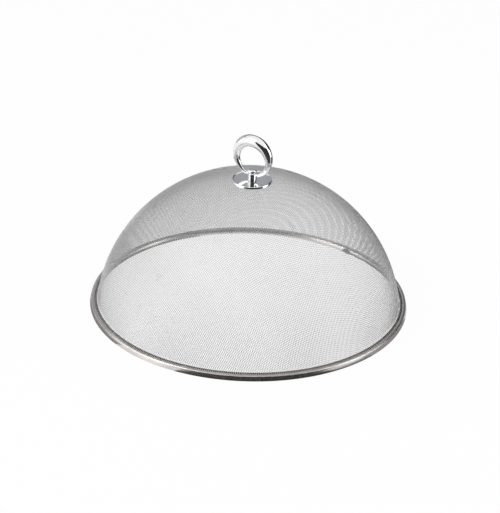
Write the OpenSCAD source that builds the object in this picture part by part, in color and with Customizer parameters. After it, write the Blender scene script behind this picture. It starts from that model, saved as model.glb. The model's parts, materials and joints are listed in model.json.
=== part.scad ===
// Food cover: a domed wire mesh held in a folded rim band, with a swinging ring handle on top.
// The table plane is z = 0, the dome's axis is z, and the ring swings about an axis along x.

/* [Dome] */
// Height of the mesh crown above the table
dome_height = 150.5; // [130:0.1:170]
// Height of the turned-out foot of the mesh, at the wall
foot_height = 7.2; // [6.8:0.1:9]
// Width of the turned-out foot that shows inside the rim
foot_width = 3.8; // [3:0.1:5]
// Thickness of the crushed foot
foot_thickness = 0.9; // [0.6:0.05:1]

/* [Mesh] */
// Spacing of the wires along the dome
mesh_pitch = 6.6; // [5.5:0.1:14]
// Diameter of a mesh wire
wire_diameter = 0.5; // [0.4:0.05:0.8]
// Turn of the weave from the handle's axis
mesh_turn = -29; // [-90:1:90]
// Clear gap between the two layers of wire
layer_gap = 0.15; // [0.1:0.01:0.3]

/* [Rim] */
// Outer diameter of the rim
rim_diameter = 350; // [300:1:400]
// Width of the rim outside the mesh
rim_width = 4.8; // [4.6:0.1:5.6]
// Height of the rim's outer lip
rim_height = 6.5; // [6.2:0.1:7.2]
// Width of the whole fold
fold_width = 7.6; // [7.2:0.1:9]
// Height of the fold's inner lip
inner_lip_height = 5.6; // [4.8:0.1:5.7]
// Thickness of the band
band_thickness = 0.6; // [0.4:0.05:0.7]
// Diameter of the rolled bead
bead_diameter = 5; // [4.6:0.1:5.4]
// Place round the bead where the lip leaves it
crease_turn = 115; // [105:1:125]
// Diameter of the wire inside the bead
core_diameter = 3.2; // [2.5:0.1:3.3]

/* [Band joint] */
// Place of the band's joint round the rim
joint_turn = 80; // [0:1:359]
// Open slit between the band's two ends
joint_slit = 0.5; // [0.2:0.1:1]
// Length of the tab behind the joint
tab_length = 9; // [7:0.1:14]
// Height of the tab
tab_height = 4.6; // [3.6:0.1:4.8]
// Thickness of the tab
tab_thickness = 0.5; // [0.4:0.05:0.8]
// Spacing of the two rivets
rivet_spacing = 5.4; // [4:0.1:6]
// Diameter of a rivet's shank
rivet_diameter = 1.4; // [1:0.1:1.8]
// Diameter of a rivet's head
rivet_head_diameter = 2.4; // [2:0.1:3]
// Height of a rivet's head
rivet_head_height = 0.7; // [0.4:0.1:1]

/* [Knob plate] */
// Diameter of the knob plate
plate_diameter = 44.5; // [36:0.5:60]
// Thickness of the knob plate
plate_thickness = 1.7; // [1.2:0.1:2.2]
// Diameter of the plate's rolled edge
plate_edge_diameter = 2.4; // [2.3:0.1:3.2]

/* [Handle post] */
// Diameter of the post
post_diameter = 9.6; // [9:0.1:11]
// Height of the post
post_height = 11; // [10.6:0.1:13]
// Radius of the post's rounded top
post_round = 2; // [1:0.1:2.4]
// Height of the lower groove
low_groove_height = 2.6; // [2:0.1:3]
// Height of the upper groove
high_groove_height = 8.2; // [8:0.1:8.6]
// Width of a groove
groove_width = 0.8; // [0.5:0.1:1]
// Depth of a groove
groove_depth = 0.7; // [0.3:0.1:1]
// Height of the ring's axis above the plate
pivot_height = 5.6; // [5.4:0.1:6.1]

/* [Ring handle] */
// Outer diameter of the ring
ring_diameter = 48; // [44:0.5:60]
// Thickness of the ring at its top, above the finger hole
ring_top = 16.2; // [14.2:0.1:21.2]
// Thickness of the ring at its ends, beside the post
ring_foot = 2.8; // [2.6:0.1:4]
// Depth of the ring, front to back
ring_depth = 5; // [4.6:0.1:7]
// Extra radius that the finger hole's rounding has over half the depth
finger_ease = 0.4; // [0.2:0.1:1]
// Diameter of the pins at the ring's ends
pin_diameter = 2.4; // [2:0.1:2.6]
// Length of a pin inside the post
pin_length = 3.2; // [2:0.1:4]
// Gap between the ring's ends and the post
end_gap = 0.4; // [0.3:0.05:0.8]

/* [Fixing] */
// Diameter of the fixing screw
screw_diameter = 4; // [3:0.1:4.4]
// Length of the screw inside the post
screw_grip = 3.8; // [3:0.1:3.9]
// Diameter of the screw's head
screw_head_diameter = 7.6; // [6.6:0.1:9]
// Height of the screw's head
screw_head_height = 2.6; // [2:0.1:3.4]
// Width of the screw's cross slots
slot_width = 1; // [0.6:0.1:1.2]
// Depth of the screw's cross slots
slot_depth = 1.3; // [0.8:0.1:1.6]
// Diameter of the clamp washer inside the dome
clamp_diameter = 22; // [16:0.5:34]
// Thickness of the clamp washer
clamp_thickness = 1.2; // [0.8:0.1:2]
// Diameter of the spring washer
spring_diameter = 7.4; // [6.6:0.1:9]
// Thickness of the spring washer
spring_thickness = 0.9; // [0.6:0.1:1.4]
// Split in the spring washer
spring_split = 0.8; // [0.4:0.1:1.2]

/* [Fits] */
// Running clearance of the ring's pins, on the radius
pin_clearance = 0.05; // [0.02:0.01:0.1]
// Clearance of the screw in the post, on the radius
thread_clearance = 0.05; // [0.02:0.01:0.1]
// Clearance of the screw in the plate and washers, on the radius
hole_clearance = 0.2; // [0.1:0.05:0.4]
// Gap where pieces are seated on each other
seat_gap = 0.1; // [0.05:0.01:0.2]

/* [Hidden] */
$fn = 96;
wire_sides = 16;

// Length that a cut runs past the face that it leaves
overrun = 2;

// Rise that the lowest wire keeps above the foot
last_rise = 1.2;

// Depth of the point below the dome that every wire's plane passes through, against the dome's radius
pull_share = 3;

// Part of the rim's slope that the foot reaches down
hem_share = 0.62;

// Rim: radii from the dome's axis
rim_r = rim_diameter / 2;
lip_r = rim_r - rim_width;
fold_r = rim_r - fold_width;
wall_r = lip_r - foot_width;
bead_r = bead_diameter / 2;
bead_centre = [rim_r - bead_r, bead_r];

// Dome: the sphere through the crown and the top of the foot, and its two layers of wire
rise = dome_height - foot_height;
dome_r = (rise * rise + wall_r * wall_r) / (2 * rise);
dome_z = dome_height - dome_r;
wire_r = wire_diameter / 2;
layer_step = (wire_diameter + layer_gap) / 2;
warp_r = dome_r + layer_step;
weft_r = dome_r - layer_step;
pull = pull_share * dome_r;
wire_end_rise = foot_height + wire_r + seat_gap - dome_z;

// Handle: spheres that the plate and the clamp washer seat on, then heights up the post
screw_r = screw_diameter / 2;
screw_hole_r = screw_r + hole_clearance;
mesh_hole_r = screw_hole_r + wire_r;
seat_r = warp_r + wire_r + seat_gap;
plate_top_r = seat_r + plate_thickness;
post_r = post_diameter / 2;
post_z = dome_z + plate_top_r + seat_gap;
pivot_z = post_z + pivot_height;
pin_r = pin_diameter / 2;
clamp_top_r = weft_r - wire_r - seat_gap;
clamp_low_r = clamp_top_r - clamp_thickness;
spring_r = spring_diameter / 2;
spring_top = dome_z + sqrt(clamp_low_r * clamp_low_r - spring_r * spring_r) - seat_gap;
head_top = spring_top - spring_thickness - seat_gap;

// Ring: its ends stand level with the pins
ring_r = ring_diameter / 2;
finger_r = (ring_diameter - ring_foot - ring_top) / 2;
end_x = post_r + end_gap;
ring_end_low = ring_r - sqrt(ring_r * ring_r - end_x * end_x);
ring_end_high = ring_foot + finger_r - sqrt(finger_r * finger_r - end_x * end_x);
ring_base_z = pivot_z - (ring_end_low + ring_end_high) / 2;
ring_centre_z = ring_base_z + ring_r;
finger_centre_z = ring_base_z + ring_foot + finger_r;

function unit(v) = v / norm(v);
function left_of(v) = [-v[1], v[0]];
function degrees_of(radians) = radians * 180 / PI;

// Sideways step at point i of a path that keeps a sheet's thickness even round its bends
function mitre(path, i) =
  let (
    last = len(path) - 1,
    before = left_of(unit(path[max(i, 1)] - path[max(i, 1) - 1])),
    after = left_of(unit(path[min(i, last - 1) + 1] - path[min(i, last - 1)]))
  )
  (before + after) / (1 + before * after);

// Section of a sheet whose middle follows a path
module ribbon(path, thickness) {
  half = thickness / 2;
  last = len(path) - 1;
  near = [for (i = [0 : last]) path[i] - half * mitre(path, i)];
  far = [for (i = [last : -1 : 0]) path[i] + half * mitre(path, i)];
  polygon(concat(near, far));
}

// Section of a spherical sheet between two radii, from its hole out to its edge
module cap_section(low_r, high_r, hole_r, edge_r) {
  intersection() {
    translate([0, dome_z]) difference() {
      circle(r = high_r);
      circle(r = low_r);
    }
    translate([hole_r, 0]) square([edge_r - hole_r, dome_height + post_height]);
  }
}

// Wires

// Tilt of the plane of the wire that crosses the crown's line at a distance along the dome
function wire_tilt(r, along) =
  let (turn = degrees_of(along / r))
  atan(r * sin(turn) / (r * cos(turn) + pull));

// An arc of wire in the plane of x and y, from one turn to another
module wire_arc(r, from, to) {
  rotate([0, 0, from])
    rotate_extrude(angle = to - from)
      translate([r, 0]) circle(r = wire_r, $fn = wire_sides);
}

// One wire, bent to the circle where its plane cuts the sphere of its layer, open where the screw passes
module mesh_wire(r, along) {
  tilt = wire_tilt(r, along);
  bend_r = sqrt(r * r - pow(pull * sin(tilt), 2));
  end_level = (wire_end_rise + pull) / cos(tilt) - pull * cos(tilt);
  end_turn = asin(end_level / bend_r);
  hole_half = sqrt(max(0, mesh_hole_r * mesh_hole_r - along * along));
  hole_turn = asin(hole_half / bend_r);
  translate([0, pull * sin(tilt) * cos(tilt), dome_z - pull * sin(tilt) * sin(tilt)])
    rotate([90 - tilt, 0, 0])
      if (hole_half > 0) {
        wire_arc(bend_r, end_turn, 90 - hole_turn);
        wire_arc(bend_r, 90 + hole_turn, 180 - end_turn);
      } else {
        wire_arc(bend_r, end_turn, 180 - end_turn);
      }
}

// Every other wire of a layer, out from the crown to both sides, none on the crown itself
module wire_layer(r, first) {
  last_along = r * acos((wire_end_rise + last_rise) / r) * PI / 180;
  count = floor(last_along / mesh_pitch + 1 / 2);
  for (i = [first : 2 : count], side = [-1, 1])
    mesh_wire(r, side * (i - 1 / 2) * mesh_pitch);
}

module warp_wires_odd() {
  color("silver") rotate([0, 0, mesh_turn]) wire_layer(warp_r, 1);
}

module warp_wires_even() {
  color("lightgray") rotate([0, 0, mesh_turn]) wire_layer(warp_r, 2);
}

module weft_wires_odd() {
  color("darkgray") rotate([0, 0, mesh_turn + 90]) wire_layer(weft_r, 1);
}

module weft_wires_even() {
  color("gray") rotate([0, 0, mesh_turn + 90]) wire_layer(weft_r, 2);
}

// Rim

// Middle of the outer lip: from its top edge down to the crease beside the bead
crease_r = bead_r - band_thickness / 2;
lip_top = [lip_r, rim_height];
lip_low = bead_centre + crease_r * [cos(crease_turn), sin(crease_turn)];
lip_inward = -left_of(unit(lip_low - lip_top));

// Middle of the foot: out from the wall, then down behind the outer lip
hem_shift = (band_thickness + foot_thickness) / 2 + seat_gap;
hem_top = lip_top + hem_shift * lip_inward;
hem_low = hem_top + hem_share * (lip_low - lip_top);
foot_path = [[wall_r, foot_height - foot_thickness / 2], hem_top, hem_low];

module mesh_foot() {
  color("gainsboro") rotate_extrude() ribbon(foot_path, foot_thickness);
}

// Rolled part of the band's section, open towards the fold
module bead_section() {
  difference() {
    translate(bead_centre) difference() {
      circle(r = bead_r);
      circle(r = bead_r - band_thickness);
    }
    translate(bead_centre) polygon(bead_diameter * [
      [0, 0], [0, -1], [-1, -1], [-1, 1], [cos(crease_turn), sin(crease_turn)],
    ]);
  }
}

module band_section() {
  half = band_thickness / 2;
  ribbon([lip_top, lip_low], band_thickness);
  bead_section();
  ribbon([[bead_centre[0], half], [fold_r + half, half], [fold_r + half, inner_lip_height]], band_thickness);
}

// The rivets pass through the band's inner lip and the tab behind it
rivet_z = band_thickness + seat_gap + tab_height / 2;
tab_r = fold_r - seat_gap;
rivet_turn = degrees_of(rivet_spacing / 2 / fold_r);

// Places something made along x at each rivet
module at_rivets() {
  for (side = [-1, 1])
    rotate([0, 0, joint_turn + side * rivet_turn]) translate([0, 0, rivet_z]) rotate([0, 90, 0]) children();
}

module rivet_holes() {
  through = overrun + tab_thickness + seat_gap + band_thickness + seat_gap;
  at_rivets()
    translate([0, 0, tab_r - tab_thickness - overrun])
      cylinder(r = rivet_diameter / 2 + hole_clearance, h = through);
}

module rim_band() {
  slit_turn = degrees_of(joint_slit / rim_r);
  color("lightgray") difference() {
    rotate([0, 0, joint_turn + slit_turn / 2])
      rotate_extrude(angle = 360 - slit_turn) band_section();
    rivet_holes();
  }
}

module rim_core_wire() {
  color("darkgray") rotate_extrude() translate(bead_centre) circle(d = core_diameter);
}

module joint_tab() {
  half_turn = degrees_of(tab_length / 2 / fold_r);
  color("gray") difference() {
    rotate([0, 0, joint_turn - half_turn])
      rotate_extrude(angle = 2 * half_turn)
        translate([tab_r - tab_thickness, rivet_z - tab_height / 2]) square([tab_thickness, tab_height]);
    rivet_holes();
  }
}

module joint_rivets() {
  shank = tab_thickness + seat_gap + band_thickness + seat_gap;
  color("whitesmoke") at_rivets() translate([0, 0, tab_r - tab_thickness - seat_gap]) {
    cylinder(d = rivet_diameter, h = shank);
    translate([0, 0, -rivet_head_height])
      cylinder(d1 = rivet_diameter, d2 = rivet_head_diameter, h = rivet_head_height);
  }
}

// Handle

module knob_plate() {
  edge_r = plate_edge_diameter / 2;
  edge_x = plate_diameter / 2 - edge_r;
  edge_turn = asin(edge_x / seat_r);
  edge_z = dome_z + (seat_r + edge_r + seat_gap) * cos(edge_turn);
  color("silver") rotate_extrude() {
    cap_section(seat_r, plate_top_r, screw_hole_r, edge_x);
    translate([edge_x, edge_z]) circle(r = edge_r);
  }
}

module post_section() {
  difference() {
    union() {
      square([post_r, post_height - post_round]);
      square([post_r - post_round, post_height]);
      translate([post_r - post_round, post_height - post_round]) circle(r = post_round);
    }
    for (z = [low_groove_height, high_groove_height])
      translate([post_r - groove_depth, z - groove_width / 2]) square([groove_depth + overrun, groove_width]);
  }
}

module handle_post() {
  color("gainsboro") translate([0, 0, post_z]) difference() {
    rotate_extrude() post_section();
    translate([0, 0, pivot_height]) rotate([0, 90, 0])
      cylinder(r = pin_r + pin_clearance, h = post_diameter + 2 * overrun, center = true);
    translate([0, 0, -overrun]) cylinder(r = screw_r + thread_clearance, h = screw_grip + seat_gap + overrun);
  }
}

module ring_section() {
  edge_r = ring_depth / 2;
  translate([0, -edge_r]) square([ring_r - edge_r, ring_depth]);
  translate([ring_r - edge_r, 0]) circle(r = edge_r);
}

// What the finger hole takes away: its wall rounds out towards both faces
module finger_section() {
  round_r = ring_depth / 2 + finger_ease;
  difference() {
    translate([0, -round_r]) square([finger_r + round_r, 2 * round_r]);
    translate([finger_r + round_r, 0]) circle(r = round_r);
  }
}

module ring_handle() {
  color("whitesmoke") {
    difference() {
      translate([0, 0, ring_centre_z]) rotate([90, 0, 0]) rotate_extrude() ring_section();
      translate([0, 0, finger_centre_z]) rotate([90, 0, 0]) rotate_extrude() finger_section();
      translate([-end_x, -ring_depth, ring_base_z - overrun])
        cube([2 * end_x, 2 * ring_depth, finger_r]);
    }
    for (side = [0, 1])
      mirror([side, 0, 0]) translate([post_r - pin_length, 0, pivot_z]) rotate([0, 90, 0])
        cylinder(r = pin_r, h = pin_length + end_gap + pin_r);
  }
}

module clamp_washer() {
  color("silver") rotate_extrude()
    cap_section(clamp_low_r, clamp_top_r, screw_hole_r, clamp_diameter / 2);
}

module spring_washer() {
  split_turn = degrees_of(spring_split / spring_r);
  color("darkgray") translate([0, 0, spring_top - spring_thickness])
    rotate([0, 0, split_turn / 2]) rotate_extrude(angle = 360 - split_turn)
      translate([screw_hole_r, 0]) square([spring_r - screw_hole_r, spring_thickness]);
}

// Pan head: a flat top under the washer, and a rounded edge below
module head_section() {
  head_r = screw_head_diameter / 2;
  round_r = screw_head_height / 2;
  square([head_r - round_r, screw_head_height]);
  translate([0, round_r]) square([head_r, round_r]);
  translate([head_r - round_r, round_r]) circle(r = round_r);
}

module fixing_screw() {
  head_z = head_top - screw_head_height;
  color("darkgray") difference() {
    union() {
      translate([0, 0, head_z]) rotate_extrude() head_section();
      translate([0, 0, head_z + screw_head_height / 2])
        cylinder(r = screw_r, h = post_z + screw_grip - head_z - screw_head_height / 2);
    }
    for (turn = [0, 90])
      rotate([0, 0, turn]) translate([-screw_r, -slot_width / 2, head_z - overrun])
        cube([screw_diameter, slot_width, slot_depth + overrun]);
  }
}

warp_wires_odd();
warp_wires_even();
weft_wires_odd();
weft_wires_even();
mesh_foot();
rim_band();
rim_core_wire();
joint_tab();
joint_rivets();
knob_plate();
handle_post();
ring_handle();
clamp_washer();
spring_washer();
fixing_screw();
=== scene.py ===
"""Looks of a domed mesh food cover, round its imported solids.

Drawn here are the woven wire, the folded rim band, the round ring and the dished plate.
The other solids keep their shape and get a finish.
"""
import json
import math

import bpy
import numpy as np
from mathutils import Matrix, Vector

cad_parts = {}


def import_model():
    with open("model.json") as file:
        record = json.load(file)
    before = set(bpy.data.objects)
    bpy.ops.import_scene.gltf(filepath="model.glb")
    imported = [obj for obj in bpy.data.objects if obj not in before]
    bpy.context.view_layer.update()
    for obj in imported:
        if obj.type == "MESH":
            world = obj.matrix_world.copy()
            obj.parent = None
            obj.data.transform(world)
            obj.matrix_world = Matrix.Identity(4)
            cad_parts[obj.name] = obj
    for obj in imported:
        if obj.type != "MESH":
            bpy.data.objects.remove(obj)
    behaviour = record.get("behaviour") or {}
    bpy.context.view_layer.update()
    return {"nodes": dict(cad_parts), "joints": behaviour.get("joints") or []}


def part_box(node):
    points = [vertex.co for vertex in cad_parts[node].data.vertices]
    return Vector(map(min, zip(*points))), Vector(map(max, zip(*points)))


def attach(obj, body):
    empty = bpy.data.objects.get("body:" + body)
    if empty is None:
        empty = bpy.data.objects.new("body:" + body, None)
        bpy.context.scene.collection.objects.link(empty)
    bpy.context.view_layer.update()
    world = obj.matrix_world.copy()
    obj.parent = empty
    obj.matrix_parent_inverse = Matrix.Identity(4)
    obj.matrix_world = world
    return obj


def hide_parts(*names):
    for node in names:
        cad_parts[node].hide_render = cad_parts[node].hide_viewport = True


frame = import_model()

MM = 0.001

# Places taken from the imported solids
RIM_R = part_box("rim_band")[1].x
PLATE_LOW, PLATE_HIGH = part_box("knob_plate")
PIVOT_Z = frame["joints"][0]["pos_m"][2]

# Woven mesh
DOME_HEIGHT = 150.5 * MM
WALL_R = 166.4 * MM
MESH_PITCH = 2.2 * MM
MESH_TURN = math.radians(-29)
MESH_HOLE_R = 2.6 * MM
MESH_PIECES = 4
WIRE_R = 0.2 * MM
WIRE_SIDES = 6
PULL_SHARE = 3.0  # the wires' planes meet this many dome radii below the dome's centre

# Foot of the mesh, which turns out and dives behind the rim's outer lip
FOOT_HEIGHT = 7.2 * MM
FOOT_RISE = 5.4 * MM
FOOT_DROP = 0.45 * MM
FOOT_BEND_R = 1.8 * MM
WALL_EASE = 0.02 * MM
HEM_BEND_R = 1.0 * MM
HEM_SHARE = 0.62
LIP_LIFT = 0.85 * MM

# Crushed wire ends, as radius and height, with painted shade in the gaps between them
EDGE_LOW = np.array([167.7, 6.9]) * MM
EDGE_HIGH = np.array([169.9, 6.35]) * MM
EDGE_THICKNESS = 0.3 * MM
EDGE_STEPS = 3
EDGE_DOTS = 480

# Rim band, as radius and height of its middle line
BAND_THICKNESS = 0.6 * MM
LIP_TOP = np.array([170.2, 6.2]) * MM
LAND_END = np.array([172.9, 5.75]) * MM
GROOVE = np.array([173.15, 5.2]) * MM
BEAD_TOP = np.array([173.55, 5.7]) * MM
INNER_LIP_LOW_R = 167.7 * MM
INNER_LIP_TOP = np.array([169.1, 5.5]) * MM
LAND_BEND_R = 0.2 * MM
GROOVE_BEND_R = 0.1 * MM
BEAD_TOP_BEND_R = 0.2 * MM
BEAD_BEND_R = 0.7 * MM
FOLD_BEND_R = 0.9 * MM
BEAD_R = 2.5 * MM
CREASE_TURN = math.radians(115)
SLIT_WIDTH = 0.5 * MM
SLIT_TURN = math.radians(80)
RIM_SEGMENTS = 480
RIM_SHARP = math.radians(40)

# Ring handle
RING_MIDDLE_R = 20.3 * MM
RING_TOP_R = 6.6 * MM
RING_FOOT_R = 1.5 * MM
RING_GAP = math.radians(20.5)
RING_SIDES = 48
RING_STEPS = 161
TIP_STEPS = 6
TIP_END_SHARE = 0.12
TIP_LENGTH_SHARE = 0.5
PIN_R = 1.2 * MM
PIN_LOW = 1.6 * MM
PIN_HIGH = 7.2 * MM
HANDLE_SHARP = math.radians(50)

# Knob plate, with corners as steps from the edge of its underside (under, foot) or top (lip, dish)
PLATE_HOLE_R = 2.2 * MM
PLATE_HOLLOW = 1.4 * MM
PLATE_UNDER = np.array([-2.6, 0.35]) * MM
PLATE_FOOT = np.array([-0.15, 0.55]) * MM
PLATE_LIP = np.array([-0.85, 0.0]) * MM
PLATE_DISH = np.array([-2.2, -0.75]) * MM
PLATE_SEAT_R = 6.5 * MM
PLATE_SEAT_LIFT = 0.02 * MM
PLATE_HOLE_LIFT = 0.05 * MM
PLATE_BENDS = np.array([2.0, 0.3, 0.45, 1.2, 4.0]) * MM
PLATE_SEGMENTS = 160

# Finishes: colours, and the lowest and highest roughness
WIRE_COLOUR = (0.53, 0.53, 0.535)
WIRE_ROUGHNESS = (0.26, 0.42)
BAND_DARK = (0.60, 0.565, 0.54)
BAND_PALE = (0.76, 0.72, 0.695)
BAND_ROUGHNESS = (0.16, 0.30)
BAND_LINE_DRAW = 0.012  # metres of pattern to a radian of turn: few, so that it draws out into lines
CHROME_DARK = (0.80, 0.81, 0.83)
CHROME_PALE = (0.90, 0.90, 0.905)
CHROME_ROUGHNESS = (0.03, 0.09)
ZINC_DARK = (0.50, 0.50, 0.52)
ZINC_PALE = (0.68, 0.68, 0.69)
ZINC_ROUGHNESS = (0.24, 0.38)
# Painted shade: the near-black gaps between the crushed wire ends
GAP_SHADE_COLOUR = (0.02, 0.019, 0.018)
DOT_COLOUR = (0.60, 0.59, 0.58)
DOT_ROUGHNESS = 0.45
NOISE_RANGE = (0.3, 0.7)  # where most values of a noise lie
CELL_RANGE = (0.0, 1.0)  # distances from a spangle's middle, in widths of a spangle

# Camera
CAMERA_TURN = math.radians(31)
CAMERA_RISE = math.radians(27.44)
CAMERA_ROLL = math.radians(1.7)
CAMERA_DISTANCE = 3.2
CAMERA_REACH = 100.0
CAMERA_AIM_SIDE = 0.3 * MM
CAMERA_AIM_HEIGHT = 57.93 * MM
PIXELS_PER_METRE = 911.5
PICTURE_HEIGHT = 513
SENSOR = 36.0

# Studio
WHITE = (1, 1, 1, 1)
FLOOR_COLOUR = (0.93, 0.93, 0.93, 1)
FLOOR_WHITE_SHARE = 0.95
FLOOR_R = 30
FLOOR_SIDES = 64
WORLD_LIGHT = 0.62
CARD_STEPS = 25
CARD_BLUE = 1.05
MAT_TUCK = 1.0 * MM
MAT_LAYER = 0.1 * MM

# Derived places and directions
DOME_RISE = DOME_HEIGHT - FOOT_HEIGHT
DOME_R = (DOME_RISE ** 2 + WALL_R ** 2) / (2 * DOME_RISE)
DOME_Z = DOME_HEIGHT - DOME_R
BEAD_CENTRE = np.array([RIM_R - BEAD_R, BEAD_R])
MAT_R = RIM_R - MAT_TUCK
CAMERA_LEVEL = Vector((math.cos(CAMERA_TURN), math.sin(CAMERA_TURN), 0))
CAMERA_AWAY = Vector((-math.sin(CAMERA_TURN), math.cos(CAMERA_TURN), 0))


# Shapes

def unit(vector):
    return vector / np.linalg.norm(vector)


def short_turn(turn):
    """The same turn, between minus and plus half a turn."""
    return (turn + math.pi) % (2 * math.pi) - math.pi


def full_turn(count):
    """Even turns all the way round."""
    return np.linspace(0, 2 * math.pi, count, endpoint=False)


def rounded_path(corners, bends, steps=8):
    """Path through corners, each rounded by an arc of its bend radius. The two ends have none."""
    path = [corners[0]]
    for before, corner, after, bend in zip(corners, corners[1:], corners[2:], bends):
        back, on = unit(before - corner), unit(after - corner)
        half = math.acos(np.clip(back @ on, -1, 1)) / 2
        middle = corner + unit(back + on) * bend / math.sin(half)
        start = corner + back * bend / math.tan(half)
        end = corner + on * bend / math.tan(half)
        first = math.atan2(*(start - middle)[::-1])
        sweep = short_turn(math.atan2(*(end - middle)[::-1]) - first)
        for turn in first + sweep * np.linspace(0, 1, steps):
            path.append(middle + bend * np.array([math.cos(turn), math.sin(turn)]))
    path.append(corners[-1])
    return np.array(path)


def sheet_outline(path, thickness, end_steps=6):
    """Closed outline of a sheet whose middle follows a path, with rounded ends."""
    half = thickness / 2
    along = np.gradient(path, axis=0)
    along /= np.linalg.norm(along, axis=1)[:, None]
    left = np.c_[-along[:, 1], along[:, 0]]
    near, far = path - half * left, path + half * left
    arc = np.linspace(-math.pi / 2, math.pi / 2, end_steps)[1:-1, None]
    last_cap = path[-1] + half * (np.cos(arc) * along[-1] + np.sin(arc) * left[-1])
    first_cap = path[0] + half * (-np.cos(arc) * along[0] - np.sin(arc) * left[0])
    return np.concatenate([near, last_cap, far[::-1], first_cap])


def lathe(outline, turns, closed):
    """Points and faces of a closed outline, taken round the z axis through some turns."""
    count, steps = len(outline), len(turns)
    r, z = outline[:, 0], outline[:, 1]
    points = np.stack([
        np.outer(np.cos(turns), r),
        np.outer(np.sin(turns), r),
        np.tile(z, (steps, 1)),
    ], axis=-1).reshape(-1, 3)
    faces = []
    for i in range(steps if closed else steps - 1):
        here, there = i * count, (i + 1) % steps * count
        for j in range(count):
            k = (j + 1) % count
            faces.append((here + j, there + j, there + k, here + k))
    if not closed:
        faces.append(tuple(range(count)))
        faces.append(tuple(range(steps * count - 1, (steps - 1) * count - 1, -1)))
    return points, faces


def tube_faces(steps, sides):
    """Faces of a tube of rings, with its two ends closed."""
    faces = []
    for i in range(steps - 1):
        here, there = i * sides, (i + 1) * sides
        for j in range(sides):
            k = (j + 1) % sides
            faces.append((here + j, here + k, there + k, there + j))
    first_end = tuple(range(sides - 1, -1, -1))
    last_end = tuple(range((steps - 1) * sides, steps * sides))
    return faces + [first_end, last_end]


def new_mesh(name, points, faces, body, material, nodes, sharp=None):
    """A shaded mesh piece that rides on a body and stands for some CAD nodes."""
    data = bpy.data.meshes.new(name)
    data.from_pydata(points, [], faces)
    data.validate()
    data.shade_smooth()
    data.materials.append(material)
    piece = bpy.data.objects.new(name, data)
    bpy.context.scene.collection.objects.link(piece)
    if sharp is not None:
        data.set_sharp_from_angle(angle=sharp)
    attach(piece, body)
    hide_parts(*nodes)


# Shader nodes

def add_node(tree, kind, **values):
    """A shader node with some of its settings set and some of its inputs filled or linked."""
    node = tree.nodes.new(kind)
    for key, value in values.items():
        if hasattr(node, key):
            setattr(node, key, value)
        elif isinstance(value, bpy.types.NodeSocket):
            tree.links.new(value, node.inputs[key])
        else:
            node.inputs[key].default_value = value
    return node


def calculate(tree, operation, first, second=None, clamp=False):
    """Output of a math node. The first term is an output, and the second an output or a number."""
    node = add_node(tree, "ShaderNodeMath", operation=operation, use_clamp=clamp)
    tree.links.new(first, node.inputs[0])
    if isinstance(second, bpy.types.NodeSocket):
        tree.links.new(second, node.inputs[1])
    elif second is not None:
        node.inputs[1].default_value = second
    return node.outputs["Value"]


def noise(tree, place, **settings):
    return add_node(tree, "ShaderNodeTexNoise", Vector=place, **settings).outputs["Fac"]


def axis_turn(tree, place):
    """The x, y and z of a place, and its turn round the z axis."""
    split = add_node(tree, "ShaderNodeSeparateXYZ", Vector=place).outputs
    return split, calculate(tree, "ARCTAN2", split["Y"], split["X"])


def tint(tree, shader, source, *stops):
    """Base colour that follows a value through two stops, each a value and its colour."""
    ramp = add_node(tree, "ShaderNodeValToRGB", Fac=source)
    for element, (place, colour) in zip(ramp.color_ramp.elements, stops):
        element.position = place
        element.color = (*colour, 1)
    tree.links.new(ramp.outputs["Color"], shader.inputs["Base Color"])


def roughen(tree, shader, source, source_range, roughness):
    """Roughness that follows a value of some range from its lowest to its highest."""
    spread = add_node(tree, "ShaderNodeMapRange", Value=source, **{
        "From Min": source_range[0],
        "From Max": source_range[1],
        "To Min": roughness[0],
        "To Max": roughness[1],
    })
    tree.links.new(spread.outputs["Result"], shader.inputs["Roughness"])


def emboss(tree, shader, source, strength, distance):
    """Small relief that follows a value."""
    bump = add_node(tree, "ShaderNodeBump", Height=source, Strength=strength, Distance=distance)
    tree.links.new(bump.outputs["Normal"], shader.inputs["Normal"])


def new_material(name):
    material = bpy.data.materials.new(name)
    material.use_nodes = True
    tree = material.node_tree
    return material, tree, tree.nodes["Principled BSDF"]


def new_metal(name):
    """A metal, with the place on the piece that its pattern follows."""
    material, tree, shader = new_material(name)
    shader.inputs["Metallic"].default_value = 1.0
    place = tree.nodes.new("ShaderNodeTexCoord").outputs["Object"]
    return material, tree, shader, place


# Finishes

def wire_steel():
    """Bright drawn wire, a little stained."""
    material, tree, shader, place = new_metal("drawn_wire")
    stain = noise(tree, place, Scale=28.0, Detail=4.0, Roughness=0.6)
    roughen(tree, shader, stain, NOISE_RANGE, WIRE_ROUGHNESS)
    shader.inputs["Base Color"].default_value = (*WIRE_COLOUR, 1)
    return material


def rolled_steel():
    """Semi-bright band: fine lines round the rim, with faint stains across them."""
    material, tree, shader, place = new_metal("rolled_band")
    split, turn = axis_turn(tree, place)
    flat = add_node(tree, "ShaderNodeCombineXYZ", X=split["X"], Y=split["Y"])
    radius = add_node(tree, "ShaderNodeVectorMath", operation="LENGTH", Vector=flat.outputs["Vector"])
    drawn = calculate(tree, "MULTIPLY", turn, BAND_LINE_DRAW)
    lines = add_node(tree, "ShaderNodeCombineXYZ", X=drawn, Y=radius.outputs["Value"], Z=split["Z"])
    brush = noise(tree, lines.outputs["Vector"], Scale=2600.0, Detail=3.0, Roughness=0.55)
    stain = noise(tree, place, Scale=34.0, Detail=5.0, Roughness=0.62)
    tint(tree, shader, stain, (0.32, BAND_DARK), (0.66, BAND_PALE))
    roughen(tree, shader, brush, NOISE_RANGE, BAND_ROUGHNESS)
    emboss(tree, shader, brush, strength=0.12, distance=0.1 * MM)
    return material


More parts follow.
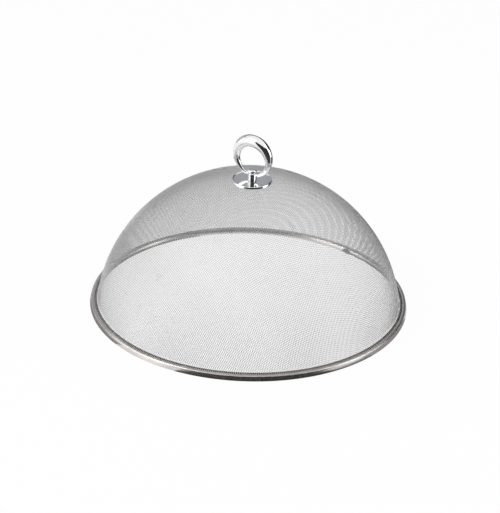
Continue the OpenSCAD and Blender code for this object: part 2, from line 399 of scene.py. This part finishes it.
def plated_chrome():
    """Polished plating: a deep mirror with faint smears and a slightly uneven casting below."""
    material, tree, shader, place = new_metal("plated_chrome")
    smear = noise(tree, place, Scale=160.0, Detail=6.0, Roughness=0.65)
    tint(tree, shader, smear, (0.30, CHROME_DARK), (0.62, CHROME_PALE))
    roughen(tree, shader, smear, NOISE_RANGE, CHROME_ROUGHNESS)
    casting = noise(tree, place, Scale=110.0, Detail=2.0)
    emboss(tree, shader, casting, strength=0.06, distance=0.6 * MM)
    return material


def plain_steel():
    """Zinc-bright steel of the fixings: mottled, with small spangles."""
    material, tree, shader, place = new_metal("bright_zinc")
    spangle = add_node(tree, "ShaderNodeTexVoronoi", Vector=place, Scale=900.0)
    mottle = noise(tree, place, Scale=240.0, Detail=5.0)
    tint(tree, shader, mottle, (0.34, ZINC_DARK), (0.64, ZINC_PALE))
    roughen(tree, shader, spangle.outputs["Distance"], CELL_RANGE, ZINC_ROUGHNESS)
    emboss(tree, shader, mottle, strength=0.15, distance=0.2 * MM)
    return material


def crushed_steel_and_painted_shade():
    """Wire ends side by side: bright dots, with painted shade in the gaps between them."""
    material, tree, shader, place = new_metal("crushed_wire_and_painted_shade")
    _, turn = axis_turn(tree, place)
    dots = calculate(tree, "SINE", calculate(tree, "MULTIPLY", turn, EDGE_DOTS))
    # The near-black gaps between the dots are painted shade
    tint(tree, shader, dots, (0.30, GAP_SHADE_COLOUR), (0.60, DOT_COLOUR))
    shader.inputs["Roughness"].default_value = DOT_ROUGHNESS
    return material


MESH_STEEL = wire_steel()
CRUSHED_STEEL_AND_SHADE = crushed_steel_and_painted_shade()
RIM_STEEL = rolled_steel()
CHROME = plated_chrome()
FIXING_STEEL = plain_steel()


# Woven mesh

def foot_profile():
    """Meridian of the mesh below its plain dome, with its first turn and its lengths.

    It goes down the wall, out over the foot and down behind the outer lip.
    """
    start_turn = math.acos((FOOT_HEIGHT + FOOT_RISE - DOME_Z) / DOME_R)
    start = np.array([DOME_R * math.sin(start_turn), DOME_Z + DOME_R * math.cos(start_turn)])
    wall = np.array([WALL_R + WALL_EASE, FOOT_HEIGHT - FOOT_DROP])
    crease_way = np.array([math.cos(CREASE_TURN), math.sin(CREASE_TURN)])
    crease = BEAD_CENTRE + (BEAD_R - BAND_THICKNESS / 2) * crease_way
    down = unit(crease - LIP_TOP)
    inward = np.array([down[1], -down[0]])
    hem_top = LIP_TOP + LIP_LIFT * inward
    hem_low = hem_top + HEM_SHARE * (crease - LIP_TOP)
    path = rounded_path([start, wall, hem_top, hem_low], [FOOT_BEND_R, HEM_BEND_R])
    lengths = np.r_[0, np.cumsum(np.linalg.norm(np.diff(path, axis=0), axis=1))]
    return start_turn, path, lengths


FOOT_TURN, FOOT_PATH, FOOT_LENGTHS = foot_profile()
FOOT_START = DOME_R * FOOT_TURN
MESH_LENGTH = FOOT_START + FOOT_LENGTHS[-1]


def on_shell(length, turn):
    """Points of the mesh and their outward normals.

    Each point is at a length down from the crown and a turn round the axis.
    """
    polar = np.minimum(length, FOOT_START) / DOME_R
    r, z = DOME_R * np.sin(polar), DOME_Z + DOME_R * np.cos(polar)
    normal_r, normal_z = np.sin(polar), np.cos(polar)
    below = length > FOOT_START
    past = length[below] - FOOT_START
    r[below] = np.interp(past, FOOT_LENGTHS, FOOT_PATH[:, 0])
    z[below] = np.interp(past, FOOT_LENGTHS, FOOT_PATH[:, 1])
    along = np.gradient(FOOT_PATH, FOOT_LENGTHS, axis=0)
    normal_r[below] = np.interp(past, FOOT_LENGTHS, -along[:, 1])
    normal_z[below] = np.interp(past, FOOT_LENGTHS, along[:, 0])
    cos, sin = np.cos(turn), np.sin(turn)
    return np.c_[r * cos, r * sin, z], np.c_[normal_r * cos, normal_r * sin, normal_z]


def wire_slopes(ids):
    """Slopes of the wires' planes, which all pass through one point far below the dome."""
    turn = ids * MESH_PITCH / DOME_R
    return np.sin(turn) / (np.cos(turn) + PULL_SHARE)


def crossings():
    """Length from the crown and turn of every crossing, by warp and weft number."""
    count = round(MESH_LENGTH / MESH_PITCH) + 1
    ids = np.arange(-count, count) + 0.5
    a, b = np.meshgrid(wire_slopes(ids), wire_slopes(ids), indexing="ij")
    total = 1 + a ** 2 + b ** 2
    under = PULL_SHARE ** 2 - total * (PULL_SHARE ** 2 - 1)
    reach = (PULL_SHARE + np.sqrt(np.where(under > 0, under, np.nan))) / total
    length = DOME_R * np.arccos(np.clip(reach - PULL_SHARE, -1, 1))
    return length, np.arctan2(a, b) + MESH_TURN


def runs_of(inside):
    """Stretches of neighbouring numbers that are inside."""
    ids = np.flatnonzero(inside)
    return [run for run in np.split(ids, np.flatnonzero(np.diff(ids) > 1) + 1) if len(run) > 1]


def wire_route(length, turn, side, run):
    """Middle line of one wire along a run of crossings, over and under, out to the mesh's edge."""
    lengths, turns, sides = length[run], turn[run], side[run].astype(float)
    for end, step in ((run[0], -1), (run[-1], 1)):
        beyond = end + step
        if 0 <= beyond < len(length) and length[beyond] > MESH_LENGTH:
            share = (MESH_LENGTH - length[end]) / (length[beyond] - length[end])
            more = short_turn(turn[beyond] - turn[end])
            at = 0 if step < 0 else len(lengths)
            lengths = np.insert(lengths, at, MESH_LENGTH)
            turns = np.insert(turns, at, turn[end] + share * more)
            sides = np.insert(sides, at, 0.0)
    points, normals = on_shell(lengths, turns)
    return points + normals * (sides * WIRE_R)[:, None], normals


def wire_tube(route, normals):
    """Points and faces of a wire's round tube, with one ring at each crossing."""
    along = np.gradient(route, axis=0)
    across = np.cross(along, normals)
    across /= np.linalg.norm(across, axis=1)[:, None]
    up = np.cross(across, along)
    up /= np.linalg.norm(up, axis=1)[:, None]
    arc = full_turn(WIRE_SIDES)
    ring = np.cos(arc)[None, :, None] * up[:, None] + np.sin(arc)[None, :, None] * across[:, None]
    points = (route[:, None] + WIRE_R * ring).reshape(-1, 3)
    here = np.arange((len(route) - 1) * WIRE_SIDES).reshape(-1, WIRE_SIDES)
    after = np.roll(here, -1, axis=1)
    faces = np.stack([here, here + WIRE_SIDES, after + WIRE_SIDES, after], axis=-1).reshape(-1, 4)
    return points, faces


def woven_layer(name, length, turn, side, nodes):
    """One set of wires of the weave, in a few pieces side by side."""
    inside = (length <= MESH_LENGTH) & (length > MESH_HOLE_R)
    wires = np.flatnonzero(inside.any(axis=1))
    for number, part in enumerate(np.array_split(wires, MESH_PIECES), 1):
        points, faces, total = [], [], 0
        for i in part:
            for run in runs_of(inside[i]):
                tube, quads = wire_tube(*wire_route(length[i], turn[i], side[i], run))
                points.append(tube)
                faces.append(quads + total)
                total += len(tube)
        new_mesh(f"{name}_{number}", np.concatenate(points), np.concatenate(faces),
                 "cover", MESH_STEEL, [*nodes, "mesh_foot"])


def woven_mesh():
    """Two sets of wires that cross, each over one and under the next."""
    length, turn = crossings()
    numbers = np.arange(len(length))
    side = np.where((numbers[:, None] + numbers) % 2, 1, -1)
    woven_layer("warp_mesh", length, turn, side, ["warp_wires_odd", "warp_wires_even"])
    woven_layer("weft_mesh", length.T, turn.T, -side.T, ["weft_wires_odd", "weft_wires_even"])


# Rim

def rim_band():
    """Band from its outer lip over a fine groove and the flattened bead, then back below.

    Its inner end folds up to the inner lip.
    """
    base = BAND_THICKNESS / 2
    path = rounded_path([
        LIP_TOP,
        LAND_END,
        GROOVE,
        BEAD_TOP,
        np.array([RIM_R - base, base]),
        np.array([INNER_LIP_LOW_R, base]),
        INNER_LIP_TOP,
    ], [LAND_BEND_R, GROOVE_BEND_R, BEAD_TOP_BEND_R, BEAD_BEND_R, FOLD_BEND_R])
    half_slit = SLIT_WIDTH / RIM_R / 2
    turns = np.linspace(SLIT_TURN + half_slit, SLIT_TURN + 2 * math.pi - half_slit, RIM_SEGMENTS)
    points, faces = lathe(sheet_outline(path, BAND_THICKNESS), turns, closed=False)
    new_mesh("rim_shell", points, faces, "cover", RIM_STEEL, ["rim_band"], RIM_SHARP)


def mesh_edge():
    """Crushed wire ends where the mesh dives behind the outer lip, with painted shade between them."""
    outline = sheet_outline(np.linspace(EDGE_LOW, EDGE_HIGH, EDGE_STEPS), EDGE_THICKNESS)
    points, faces = lathe(outline, full_turn(RIM_SEGMENTS), closed=True)
    new_mesh("crushed_edge_and_painted_shade", points, faces, "cover", CRUSHED_STEEL_AND_SHADE, ["mesh_foot"])


# Handle

def horn_route():
    """Turns from the ring's top and the horn's radius at each, with rounded tips."""
    middle = (RING_TOP_R + RING_FOOT_R) / 2
    swell = (RING_TOP_R - RING_FOOT_R) / 2
    last = math.pi - RING_GAP
    tip_r = middle + swell * math.cos(last)
    shares = np.linspace(1, TIP_END_SHARE, TIP_STEPS)[1:]
    tip_turns = last + TIP_LENGTH_SHARE * tip_r / RING_MIDDLE_R * np.sqrt(1 - shares ** 2)
    tip_radii = tip_r * shares
    horn_turns = np.linspace(-last, last, RING_STEPS)
    horn_radii = middle + swell * np.cos(horn_turns)
    turns = np.r_[-tip_turns[::-1], horn_turns, tip_turns]
    radii = np.r_[tip_radii[::-1], horn_radii, tip_radii]
    return turns, radii


def swinging_tube(name, rings):
    """Chromed tube through some rings of points, which swings with the ring."""
    new_mesh(name, np.concatenate(rings), tube_faces(len(rings), RING_SIDES),
             "ring", CHROME, ["ring_handle"], HANDLE_SHARP)


def ring_handle():
    """Crescent ring, a round horn that thins to its two ends, and the pins that turn in the post."""
    ring_z = PIVOT_Z + RING_MIDDLE_R * math.cos(RING_GAP)
    arc = full_turn(RING_SIDES)
    cos, sin = np.cos(arc), np.sin(arc)
    horn = []
    for turn, radius in zip(*horn_route()):
        out = RING_MIDDLE_R + radius * cos
        horn.append(np.c_[out * math.sin(turn), -radius * sin, ring_z + out * math.cos(turn)])
    swinging_tube("ring_body", horn)
    for name, side in (("ring_pin_left", -1), ("ring_pin_right", 1)):
        pin = []
        for x in (PIN_LOW, PIN_HIGH):
            pin.append(np.c_[np.full(RING_SIDES, side * x), side * PIN_R * cos, PIVOT_Z + PIN_R * sin])
        swinging_tube(name, pin)


def knob_plate():
    """Saucer-like plate: a shallow dish with a raised lip and a sloped outer face."""
    edge, low, top = PLATE_HIGH.x, PLATE_LOW.z, PLATE_HIGH.z
    low_edge, top_edge = np.array([edge, low]), np.array([edge, top])
    outline = rounded_path([
        np.array([PLATE_HOLE_R, low + PLATE_HOLLOW]),
        low_edge + PLATE_UNDER,
        low_edge + PLATE_FOOT,
        top_edge + PLATE_LIP,
        top_edge + PLATE_DISH,
        np.array([PLATE_SEAT_R, top + PLATE_SEAT_LIFT]),
        np.array([PLATE_HOLE_R, top + PLATE_HOLE_LIFT]),
    ], PLATE_BENDS)
    points, faces = lathe(outline[::-1], full_turn(PLATE_SEGMENTS), closed=True)
    new_mesh("plate_dish", points, faces, "cover", CHROME, ["knob_plate"], HANDLE_SHARP)


# Solids that keep their shape and get a finish

def finish_solids():
    finishes = {
        "rim_core_wire": FIXING_STEEL,
        "joint_tab": RIM_STEEL,
        "joint_rivets": FIXING_STEEL,
        "handle_post": CHROME,
        "clamp_washer": FIXING_STEEL,
        "spring_washer": FIXING_STEEL,
        "fixing_screw": FIXING_STEEL,
    }
    for node, material in finishes.items():
        for place in frame["nodes"][node].material_slots:
            place.material = material


# Camera

def camera():
    """Camera of the photo, rolled a little."""
    back = Vector((
        math.sin(CAMERA_TURN) * math.cos(CAMERA_RISE),
        -math.cos(CAMERA_TURN) * math.cos(CAMERA_RISE),
        math.sin(CAMERA_RISE),
    ))
    upright = back.cross(CAMERA_LEVEL)
    right = CAMERA_LEVEL * math.cos(CAMERA_ROLL) + upright * math.sin(CAMERA_ROLL)
    up = back.cross(right)
    aim_height = Vector((0, 0, CAMERA_AIM_HEIGHT))
    place = Matrix((right, up, back)).transposed().to_4x4()
    place.translation = back * CAMERA_DISTANCE + CAMERA_LEVEL * CAMERA_AIM_SIDE + aim_height
    data = bpy.data.cameras.new("camera")
    data.sensor_width = SENSOR
    data.lens = PIXELS_PER_METRE * CAMERA_DISTANCE * SENSOR / PICTURE_HEIGHT
    data.clip_end = CAMERA_REACH
    viewer = bpy.data.objects.new("camera", data)
    viewer.matrix_world = place
    bpy.context.scene.collection.objects.link(viewer)
    bpy.context.scene.camera = viewer


def from_camera(side, up, forward):
    """Point of the studio, with sides and depth as the camera sees them, level with the floor."""
    return CAMERA_LEVEL * side + CAMERA_AWAY * forward + Vector((0, 0, up))


# Studio

def seen_directly(tree):
    """One for rays from the camera and from mirrors, and zero for rays that gather soft light."""
    rays = tree.nodes.new("ShaderNodeLightPath").outputs
    return calculate(tree, "ADD", rays["Is Camera Ray"], rays["Is Glossy Ray"], clamp=True)


def end_with_mix(tree, end, share, first, second):
    """Ends a node tree with a mix of two shaders."""
    mix = add_node(tree, "ShaderNodeMixShader", Fac=share)
    tree.links.new(first, mix.inputs[1])
    tree.links.new(second, mix.inputs[2])
    tree.links.new(mix.outputs["Shader"], tree.nodes[end].inputs["Surface"])


def white_floor():
    """Pale table: mostly white to the eye and to mirrors, with a faint shadow."""
    material, tree, shader = new_material("pale_floor")
    tree.nodes.remove(shader)
    diffuse = add_node(tree, "ShaderNodeBsdfDiffuse", Color=FLOOR_COLOUR)
    white = add_node(tree, "ShaderNodeEmission", Color=WHITE, Strength=1.0)
    share = calculate(tree, "MULTIPLY", seen_directly(tree), FLOOR_WHITE_SHARE)
    end_with_mix(tree, "Material Output", share, diffuse.outputs["BSDF"], white.outputs["Emission"])
    bpy.ops.mesh.primitive_circle_add(vertices=FLOOR_SIDES, radius=FLOOR_R, fill_type="NGON")
    floor = bpy.context.object
    floor.name = "floor"
    floor.data.materials.append(material)


def world():
    """Even pale surroundings: white where they are seen, softer where they light the cover."""
    surroundings = bpy.data.worlds.new("surroundings")
    bpy.context.scene.world = surroundings
    surroundings.use_nodes = True
    tree = surroundings.node_tree
    light = tree.nodes["Background"]
    light.inputs["Color"].default_value = WHITE
    light.inputs["Strength"].default_value = WORLD_LIGHT
    white = add_node(tree, "ShaderNodeBackground", Color=WHITE, Strength=1.0)
    end_with_mix(tree, "World Output", seen_directly(tree),
                 light.outputs["Background"], white.outputs["Background"])


def standing(radius, low, high):
    """Profile of an upright card, as radius and height."""
    return (radius, low), (radius, high)


def lying(layer, inner, outer):
    """Profile of a mat on the floor. Mats that overlap lie in layers."""
    return (inner, layer * MAT_LAYER), (outer, layer * MAT_LAYER)


# Cards: name, shade, turns in degrees from the camera's side to its right, and profile
CARDS = (
    ("front_card", 0.03, (-42, 62), standing(1.6, 0.0, 1.4)),
    ("front_mat", 0.03, (-26, 33), lying(3, MAT_R, 0.6)),
    ("front_floor", 0.03, (-42, 58), lying(4, 0.3, 1.6)),
    ("back_card", 0.44, (105, 195), standing(1.8, 0.0, 1.7)),
    ("left_back_card", 0.62, (195, 255), standing(1.8, 0.0, 0.9)),
    ("left_top_card", 0.43, (195, 238), standing(1.8, 0.9, 1.45)),
    ("back_mat", 0.43, (112, 195), lying(3, MAT_R, 1.7)),
    ("back_strip", 0.03, (178, 194), standing(1.75, 0.08, 0.65)),
    # Painted shade: dark mats inside the dome for the shaded floor under the mesh, seen only in
    # reflections
    ("left_inner_painted_shade", 0.06, (200, 258), lying(2, 0.128, 0.1675)),
    ("right_inner_painted_shade", 0.06, (98, 142), lying(2, 0.132, 0.1675)),
    ("side_card", 0.03, (92, 162), standing(1.6, 0.0, 1.3)),
    ("side_floor", 0.03, (74, 172), lying(4, 0.3, 1.6)),
    # Painted shadow: the floor's contact shadow round the rim as reflections see it, lighter on the
    # right
    ("right_front_painted_shadow", 0.42, (51, 82), lying(2, MAT_R, 0.3)),
    ("right_painted_shadow", 1.0, (82, 130), lying(2, MAT_R, 0.3)),
    ("near_painted_shadow", 0.30, (130, 306), lying(2, MAT_R, 0.19)),
    ("rim_painted_shadow", 0.22, (33, 51), lying(1, MAT_R, 0.188)),
)

# Lamps: name, place to the camera's right, up and forward, width and height, and power
LAMPS = (
    ("key_light", (-1.2, 1.6, -0.6), (1.0, 1.0), 9),
    ("fill_light", (1.4, 1.2, -0.4), (0.8, 1.2), 4),
    ("left_strip", (-1.44, 0.35, -0.42), (1.3, 0.7), 5),
    ("right_strip", (1.5, 0.35, -0.08), (1.0, 0.7), 4),
)


def card(name, shade, turns, profile):
    """Curved card that only reflections see."""
    material, _, shader = new_material(name)
    shader.inputs["Base Color"].default_value = (shade, shade, shade * CARD_BLUE, 1)
    shader.inputs["Roughness"].default_value = 1.0
    points = []
    for turn in np.radians(np.linspace(*turns, CARD_STEPS)):
        for radius, height in profile:
            points.append(from_camera(radius * math.sin(turn), height, -radius * math.cos(turn)))
    faces = [(i, i + 2, i + 3, i + 1) for i in range(0, len(points) - 2, 2)]
    data = bpy.data.meshes.new(name)
    data.from_pydata(points, [], faces)
    data.materials.append(material)
    piece = bpy.data.objects.new(name, data)
    bpy.context.scene.collection.objects.link(piece)
    piece.visible_camera = piece.visible_diffuse = piece.visible_shadow = False


def softbox(name, place, size, power):
    """Rectangular lamp that faces the middle of the dome."""
    data = bpy.data.lights.new(name, "AREA")
    data.shape = "RECTANGLE"
    data.size, data.size_y = size
    data.energy = power
    lamp = bpy.data.objects.new(name, data)
    lamp.location = from_camera(*place)
    aim = Vector((0, 0, DOME_HEIGHT / 2)) - lamp.location
    lamp.rotation_euler = aim.to_track_quat("-Z", "Y").to_euler()
    bpy.context.scene.collection.objects.link(lamp)


def studio():
    bpy.context.scene.view_settings.view_transform = "Standard"
    white_floor()
    world()
    for row in CARDS:
        card(*row)
    for row in LAMPS:
        softbox(*row)


woven_mesh()
rim_band()
mesh_edge()
ring_handle()
knob_plate()
finish_solids()
camera()
studio()
